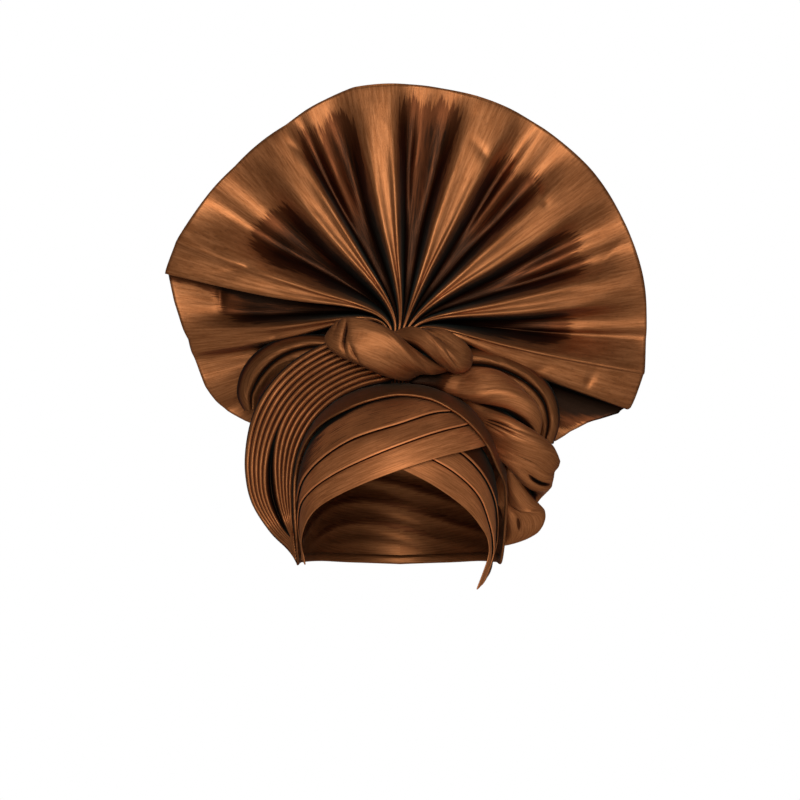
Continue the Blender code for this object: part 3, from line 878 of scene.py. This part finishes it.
class GELE_OT_brow_wraps(bpy.types.Operator):
    """Makes the two crossed brow wraps from knife pleats"""

    bl_idname = "gele.brow_wraps"
    bl_label = "Brow wraps"

    def execute(self, context):
        sizes = context.scene.gele_sizes
        cloth = shot_taffeta("brow taffeta")
        group = fold_tree("Tension wrinkles", NO_FOLD, NO_FOLD)
        for wrap in BROW_WRAPS:
            parts = []
            for i, (points, shade) in enumerate(pleated_bands(wrap, sizes.pleat_step)):
                laid = stack(
                    run_lengths(points, 0) + i * 0.05, run_lengths(points, 1).mean(axis=0)
                )
                wrinkles = Wrinkles(0.00035, 0.050, 0.007, wrap.seed + i)
                marks = {"out": unit(points)}
                part = folded(f"{wrap.name}_{i}", points, laid, marks, group, wrinkles, cloth)
                # Painted shade: the cap's shadow on the higher pleats, and all pleats to the sides
                painted_side_shade = 0.34 * ramp(46, 84, np.abs(azimuths(points)))
                values = (shade[:, None] + wrap.deeper[i] + painted_side_shade).ravel()
                hollow = part.data.attributes["hollow"]
                hollow.data.foreach_set("value", values.astype(np.float32))
                parts.append(part)
            finish_sheet(
                joined(wrap.name + "_cloth", parts), sizes.cloth_wall * 0.7,
                [wrap.name],
            )
        return {"FINISHED"}


class GELE_OT_side_ruff(bpy.types.Operator):
    """Makes the crescent of narrow rounded pleats at the side"""

    bl_idname = "gele.side_ruff"
    bl_label = "Side ruff"

    def execute(self, context):
        sizes = context.scene.gele_sizes
        across = np.linspace(0, 1, sizes.ruff_ribs * RIB_COLUMNS + 1)[None, :]
        along = np.linspace(0, 1, RUFF_ROWS)
        at = follow(RUFF, along)
        inner = on_head(
            at.inner_azimuth, at.inner_height, RUFF_LIFT + sizes.ruff_stand * at.inner_stand
        )
        outer = on_head(
            at.outer_azimuth, at.outer_height, RUFF_LIFT + sizes.ruff_stand * at.outer_stand
        )
        # A gap opens between the inner and the outer pleats towards the lower end
        gap = (RUFF_GAP * ramp(0.02, 0.16, along) * ramp(0.62, 0.30, along))[:, None]
        outside = ramp(RUFF_SPLIT - RUFF_SPLIT_EDGE, RUFF_SPLIT + RUFF_SPLIT_EDGE, across)
        opened = across + gap * (outside - across)
        opened = opened - gap * (1 - outside) * across
        points = inner[:, None, :] + (outer - inner)[:, None, :] * opened[..., None]
        facing = unit(np.cross(outer - inner, np.gradient(inner + outer, axis=0)))
        facing = facing * np.where(facing[:, 1:2] > 0, -1, 1)
        room = np.clip(np.linalg.norm(outer - inner, axis=-1) / sizes.ruff_stand, 0.0, 1.0)
        depth = sizes.rib_depth * room**0.8 + 0.0006
        facing = np.repeat(facing[:, None, :], across.shape[1], axis=1)
        push = facing * depth[:, None, None]
        crowning = RUFF_CROWNING * np.sin(np.pi * across) * room[:, None]
        points = points - push * 0.5 + facing * crowning[..., None]
        # Painted shade in the grooves between the ribs, and a little over all of the ruff
        marks = {
            "out": facing, "phase": across * sizes.ruff_ribs, "push": push, "crumple": 0.6,
            "shadow": 1.55, "crevice": 0.10,
        }
        laid = stack(across * 0.16, run_lengths(points, 0).mean(axis=1)[:, None])
        group = fold_tree("Rounded ribs", RUFF_RIB, NO_FOLD)
        wrinkles = Wrinkles(0.0006, 0.030, 0.009, 5.0)
        cloth = shot_taffeta("ruff taffeta")
        obj = folded("side_ruff_cloth", points, laid, marks, group, wrinkles, cloth)
        finish_sheet(
            obj, sizes.cloth_wall, ["side_ruff"],
        )
        return {"FINISHED"}


def fan_directions(phase):
    """Direction of the cloth at each phase, before its crests lean over."""
    crests = columns(FAN_CRESTS)
    stops = stack(crests.direction, crests.valley_direction).ravel()[:-1]
    return np.interp(phase, np.arange(len(stops)) / 2, stops)


def fan_dents(direction, spread, reach):
    """How far the fan's small creases push the cloth back."""
    dent = np.zeros(spread.shape)
    for crease in FAN_CREASES:
        outwards = spread - crease.reach * reach
        sideways = spread * np.radians(direction - crease.direction)
        turn = math.radians(crease.tilt)
        lengthwise = outwards * math.cos(turn) + sideways * math.sin(turn)
        crosswise = sideways * math.cos(turn) - outwards * math.sin(turn)
        line = np.exp(-((lengthwise / crease.length) ** 2))
        dent += crease.depth * line * np.exp(-np.abs(crosswise / crease.width) ** 1.3)
    return dent


class GELE_OT_fan(bpy.types.Operator):
    """Makes the tall gathered fan with its deep pleats"""

    bl_idname = "gele.fan"
    bl_label = "Fan"

    def execute(self, context):
        sizes = context.scene.gele_sizes
        crests, rim, slopes = columns(FAN_CRESTS), columns(FAN_RIM), columns(FAN_LEAN)
        pleats = len(FAN_CRESTS) - 1
        phase = np.linspace(0, pleats, pleats * PLEAT_COLUMNS + 1)[None, :]
        rise = np.linspace(0, 1, FAN_ROWS)[:, None]
        reach = sizes.fan_reach * np.interp(fan_directions(phase), rim.direction, rim.reach)
        stem = np.array(FAN_STEM)[:, None]
        radius = np.concatenate((stem + 0 * phase, reach * rise**FAN_ROW_SPREAD))
        spread = np.maximum(radius, 0.0)
        outwards = spread / reach
        place = np.broadcast_to(phase, radius.shape)
        i = np.minimum(place.astype(int), pleats - 1)
        way = place - i
        crest = crests.crest[i] + (crests.crest[i + 1] - crests.crest[i]) * way
        edge = crests.edge[i] + (crests.edge[i + 1] - crests.edge[i]) * ramp(0.30, 0.70, way)
        lean = crests.lean[np.where(way < 0.5, i, i + 1)]
        direction = fan_directions(place)
        slope = np.interp(direction, slopes.direction, slopes.slope)
        side = 1 - 2 * place / pleats
        flare = 0.40 + 0.60 * ramp(0.0, FLARE_END, radius)
        stretch = np.maximum(0.0, 1 - outwards**2.2) ** 0.8
        depth = flare * (sizes.fan_depth * stretch + sizes.rim_wave * (1 + edge))
        pull = np.exp(-spread / GATHER_WIDTH)
        turn = np.radians(direction + (GATHER_DIRECTION - direction) * GATHER_PULL * pull)
        bow = GATHER_BOW * side**2 * (1 - ramp(FLARE_START, FLARE_END, radius))
        points = np.array(HUB) + stack(
            side * pull * GATHER_WIDTH / 2 + spread * np.cos(turn),
            spread * np.tan(np.radians(slope)) + bow + 0.5 * depth,
            spread * np.sin(turn) + np.minimum(radius, 0.0),
        )
        points[..., 1] += fan_dents(direction, spread, reach)
        sideways = stack(-np.sin(turn), 0.0, np.cos(turn)) * (spread * np.radians(lean))[..., None]
        minor = crests.valley_crest[i] * ramp(0.36, 0.80, outwards)
        # Crests are narrow at the gather and widen outwards
        narrow = 0.60 * ramp(0.50, 0.0, outwards)
        # How far out the valley's painted shade reaches
        dark = crests.shadow[i]
        # Where a crest lies over on its side, the cloth under it has painted shadow right to the
        # rim
        under = np.where(way < 0.5, 1, -1) * lean > 3.0
        near = np.minimum(way, 1 - way)
        crevice = 0.9 * under * ramp(0.15, 0.23, near) * ramp(0.48, 0.30, near)
        crevice = crevice * ramp(0.20, 0.50, outwards)
        # The rim gets a little painted shade, darker than the crests, but not low on the right
        crevice = crevice + 0.12 * ramp(0.50, 0.85, outwards) * ramp(0, 40, direction)
        marks = {
            "out": -BACK,
            "phase": place + narrow * np.sin(2 * np.pi * place) / (2 * np.pi),
            "push": -BACK * (depth * crest)[..., None] + sideways,
            "swell": -BACK * (depth * crest * minor)[..., None],
            "crumple": 0.15 + 0.85 * ramp(0.25, 0.9, outwards),
            "ease": ramp(0.55, 1.0, outwards) * (1 - edge),
            "shadow": ramp(dark + 0.10, dark - 0.16, outwards),
            "crevice": crevice,
        }
        laid = stack(place * PLEAT_CLOTH, radius)
        group = fold_tree("Fan pleats", FAN_RIDGE, FAN_MINOR_RIDGE)
        wrinkles = Wrinkles(0.0015, 0.070, 0.024, 8.0)
        cloth = shot_taffeta("fan taffeta")
        obj = folded("fan_cloth", points, laid, marks, group, wrinkles, cloth)
        finish_sheet(
            obj, sizes.cloth_wall, ["fan"],
        )
        return {"FINISHED"}


class GELE_OT_fan_edges(bpy.types.Operator):
    """Makes the fan's two turned-back edges, as soft rolls behind the knot"""

    bl_idname = "gele.fan_edges"
    bl_label = "Fan edges"

    def execute(self, context):
        sizes = context.scene.gele_sizes
        cloth = shot_taffeta("turned edge taffeta")
        group = fold_tree("Soft rolls", RUFF_RIB, NO_FOLD)
        along = np.linspace(0, 1, EDGE_ROWS)
        across = np.linspace(-0.5, 0.5, EDGE_ROLLS * EDGE_ROLL_COLUMNS + 1)[None, :]
        sway = 0.22 * np.sin(5 * along + 1)[:, None] * np.cos(np.pi * across)
        for edge in FAN_EDGES:
            at = follow(edge.path, along)
            centre = stack(at.across, at.back, at.up)
            side = unit(np.cross(unit(np.gradient(centre, axis=0)), BACK))
            offset = side[:, None, :] * (at.width[:, None] * across)[..., None]
            points = centre[:, None, :] + offset
            points[..., 1] += at.depth[:, None] * (0.5 + 6 * across**2)
            # Painted shade in the rolls' grooves, and a little more all over
            marks = {
                "out": -BACK, "phase": (across + 0.5) * EDGE_ROLLS + sway,
                "push": -BACK * at.depth[:, None, None], "shadow": 1.0, "crevice": 0.15,
            }
            laid = stack(run_lengths(points, 1), run_lengths(points, 0))
            wrinkles = Wrinkles(0.0012, 0.030, 0.009, edge.seed)
            obj = folded(edge.name, points, laid, marks, group, wrinkles, cloth)
            finish_sheet(
                obj, sizes.cloth_wall, []
            )
        return {"FINISHED"}


def strand_points(strand, line, along, around, girth, turn, twist):
    """The skin of one of two strands twisted round a line, dented at its creases."""
    ahead, behind = np.minimum(along + LINE_STEP, 1.0), np.maximum(along - LINE_STEP, 0.0)
    run = unit(line(ahead) - line(behind))
    outer = unit(np.cross(run, BACK))
    angle = np.radians(turn)[:, None]
    out = (outer * np.cos(angle) + np.cross(run, outer) * np.sin(angle)) * strand.side
    flank = np.cross(run, out)[:, None, :]
    out = out[:, None, :]
    # The ends are blunt
    size = (girth * np.sqrt(np.maximum(0.0, 1 - (2 * along - 1) ** 8)))[:, None]
    theta = 2 * np.pi * around
    cosine, sine = np.cos(theta), np.sin(theta)
    out_share, flank_share = (
        np.sign(value) * np.abs(value) ** (2 / twist.fullness) for value in (cosine, sine)
    )
    points = (
        line(along)[:, None, :]
        + out * (twist.gap / 2 + size / 2 * (1 + out_share))[..., None]
        + flank * (size * STRAND_FLATNESS * flank_share)[..., None]
    )
    skin = unit(out * (cosine * 1.4)[..., None] + flank * sine[..., None])
    dent = np.zeros(points.shape[:2])
    for crease in strand.creases:
        u = along[:, None] - crease.along
        v = (around - crease.around + 0.5) % 1.0 - 0.5
        tilt = crease.tilt * 2 * math.pi
        lengthwise = u * math.cos(tilt) + v * math.sin(tilt)
        crosswise = v * math.cos(tilt) - u * math.sin(tilt)
        line_share = np.exp(
            -((lengthwise / crease.length) ** 2) - np.abs(crosswise / crease.width) ** 1.4
        )
        dent += crease.depth * line_share
    points = points - skin * dent[..., None]
    # Painted shade on the side that faces the other strand and in the creases
    deep = ramp(-0.55, -0.95, cosine) + ramp(0.0008, 0.0030, dent) * 0.9
    return points, skin, deep, size


def make_twist(strands, rows, line, radius, twist, cloth):
    """Two strands twisted round a line, each made as its own plump piece."""
    along = np.linspace(0, 1, STRAND_ROWS + 1)
    around = np.linspace(0, 1, STRAND_COLUMNS + 1)[None, :]
    at = follow(rows, along)
    for strand in strands:
        girth = radius * getattr(at, strand.girth)
        points, skin, deep, size = strand_points(
            strand, line, along, around, girth, at.turn, twist
        )
        fade = np.clip(size / size.max(), 0, 1)
        rise = twist.fold_depth * fade * np.sin(np.pi * along)[:, None] ** 0.5
        # Painted shade in the folds' valleys, on the inner side and creases, and at the tucked end
        marks = {
            "out": skin, "phase": around * 2 + along[:, None] * twist.spiral,
            "push": skin * rise[..., None], "crumple": fade, "shadow": 0.25,
            "crevice": deep + twist.tucked * ramp(0.23, 0.13, along)[:, None],
        }
        laid = stack(
            around * 0.10 + along[:, None] * 0.02, run_lengths(points, 0).max(axis=1)[:, None]
        )
        group = fold_tree(strand.name + " folds", SOFT_FOLD, NO_FOLD)
        wrinkles = Wrinkles(0.0009, 0.030, 0.012, strand.seed)
        obj = folded(
            strand.name + "_cloth", points, laid, marks, group, wrinkles, cloth, welded=True
        )
        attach(obj, BODY)
        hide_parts(strand.name)


class GELE_OT_knot(bpy.types.Operator):
    """Makes the knot's two twisted lobes"""

    bl_idname = "gele.knot"
    bl_label = "Knot"

    def execute(self, context):
        sizes = context.scene.gele_sizes
        forward = KNOT_STANDOFF + sizes.knot_radius * KNOT_BULGE
        centre = np.array(HUB) + np.array([0.0, -forward, -KNOT_DROP])

        def line(share):
            at = follow(KNOT, share)
            return centre + sizes.knot_length * stack(at.across, -at.forward, at.rise)

        cloth = shot_taffeta("knot taffeta")
        make_twist(KNOT_STRANDS, KNOT, line, sizes.knot_radius, KNOT_TWIST, cloth)
        return {"FINISHED"}


class GELE_OT_roll(bpy.types.Operator):
    """Makes the twisted roll that runs down the side"""

    bl_idname = "gele.roll"
    bl_label = "Twisted roll"

    def execute(self, context):
        sizes = context.scene.gele_sizes

        def line(share):
            at = follow(ROPE, share)
            return on_head(at.azimuth, at.height, ROLL_LIFT + sizes.roll_radius * at.stand)

        cloth = shot_taffeta("roll taffeta")
        radius = sizes.roll_radius * ROLL_PLUMPNESS
        make_twist(ROLL_STRANDS, ROPE, line, radius, ROLL_TWIST, cloth)
        return {"FINISHED"}


class GELE_OT_stage(bpy.types.Operator):
    """Makes the pale floor, the soft studio lights and the camera"""

    bl_idname = "gele.stage"
    bl_label = "Stage"

    def execute(self, context):
        scene = context.scene
        mesh = bpy.data.meshes.new("studio_floor")
        bm = bmesh.new()
        bmesh.ops.create_circle(bm, cap_ends=True, segments=96, radius=FLOOR_RADIUS)
        bmesh.ops.translate(bm, verts=bm.verts, vec=(0.0, 0.0, FLOOR_HEIGHT))
        bm.to_mesh(mesh)
        bm.free()
        mesh.materials.append(pale_floor("pale studio floor", scene.gele_colours.floor))
        linked("studio_floor", mesh)

        # The backdrop is white straight behind the part, and grey where the cloth could mirror it
        world = bpy.data.worlds.new("studio")
        scene.world = world
        world.use_nodes = True
        tree = Tree(world.node_tree)
        background = world.node_tree.nodes["Background"]
        direction = tree.add("ShaderNodeTexCoord", output=0)
        behind = tree.part(direction, 1).between(0.965, 0.99)
        sky = tree.mix(behind, (0.20, 0.20, 0.205, 1.0), (1.0, 1.0, 1.0, 1.0))
        tree.put(background.inputs["Color"], sky)
        background.inputs["Strength"].default_value = 1.0

        for row in LIGHTS:
            data = bpy.data.lights.new(row.name, "AREA")
            data.shape = "RECTANGLE"
            data.size = data.size_y = LIGHT_SIZE
            data.energy = row.power
            light = linked(row.name, data)
            light.location = row.place
            aim = Vector(LIGHT_AIM) - Vector(row.place)
            light.rotation_euler = aim.to_track_quat("-Z", "Y").to_euler()

        data = bpy.data.cameras.new("camera")
        data.sensor_width = 36.0
        data.lens = data.sensor_width * CAMERA_DISTANCE / VIEW_WIDTH
        camera = linked("camera", data)
        camera.location = (0.0, -CAMERA_DISTANCE, CAMERA_HEIGHT)
        camera.rotation_euler = (math.radians(90), 0.0, 0.0)
        scene.camera = camera
        scene.view_settings.view_transform = "Standard"
        return {"FINISHED"}


class GELE_PT_pieces(bpy.types.Panel):
    """Lists the pieces of the head tie and their sizes"""

    bl_idname = "GELE_PT_pieces"
    bl_label = "Gele head tie"
    bl_space_type = "VIEW_3D"
    bl_region_type = "UI"
    bl_category = "Gele"

    def draw(self, context):
        for group in (context.scene.gele_sizes, context.scene.gele_colours):
            for name in group.__annotations__:
                self.layout.prop(group, name)
        for operator in OPERATORS:
            self.layout.operator(operator.bl_idname)


OPERATORS = (
    GELE_OT_stage, GELE_OT_brow_wraps, GELE_OT_crown_cap, GELE_OT_side_ruff, GELE_OT_fan,
    GELE_OT_fan_edges, GELE_OT_knot, GELE_OT_roll,
)
CLASSES = (GeleSizes, GeleColours) + OPERATORS + (GELE_PT_pieces,)


def register():
    for kind in CLASSES:
        bpy.utils.register_class(kind)
    bpy.types.Scene.gele_sizes = PointerProperty(type=GeleSizes)
    bpy.types.Scene.gele_colours = PointerProperty(type=GeleColours)


def unregister():
    del bpy.types.Scene.gele_sizes
    del bpy.types.Scene.gele_colours
    for kind in reversed(CLASSES):
        bpy.utils.unregister_class(kind)


def main():
    register()
    bpy.ops.gele.stage()
    bpy.ops.gele.brow_wraps()
    bpy.ops.gele.crown_cap()
    bpy.ops.gele.side_ruff()
    bpy.ops.gele.fan()
    bpy.ops.gele.fan_edges()
    bpy.ops.gele.knot()
    bpy.ops.gele.roll()


if __name__ == "__main__":
    main()
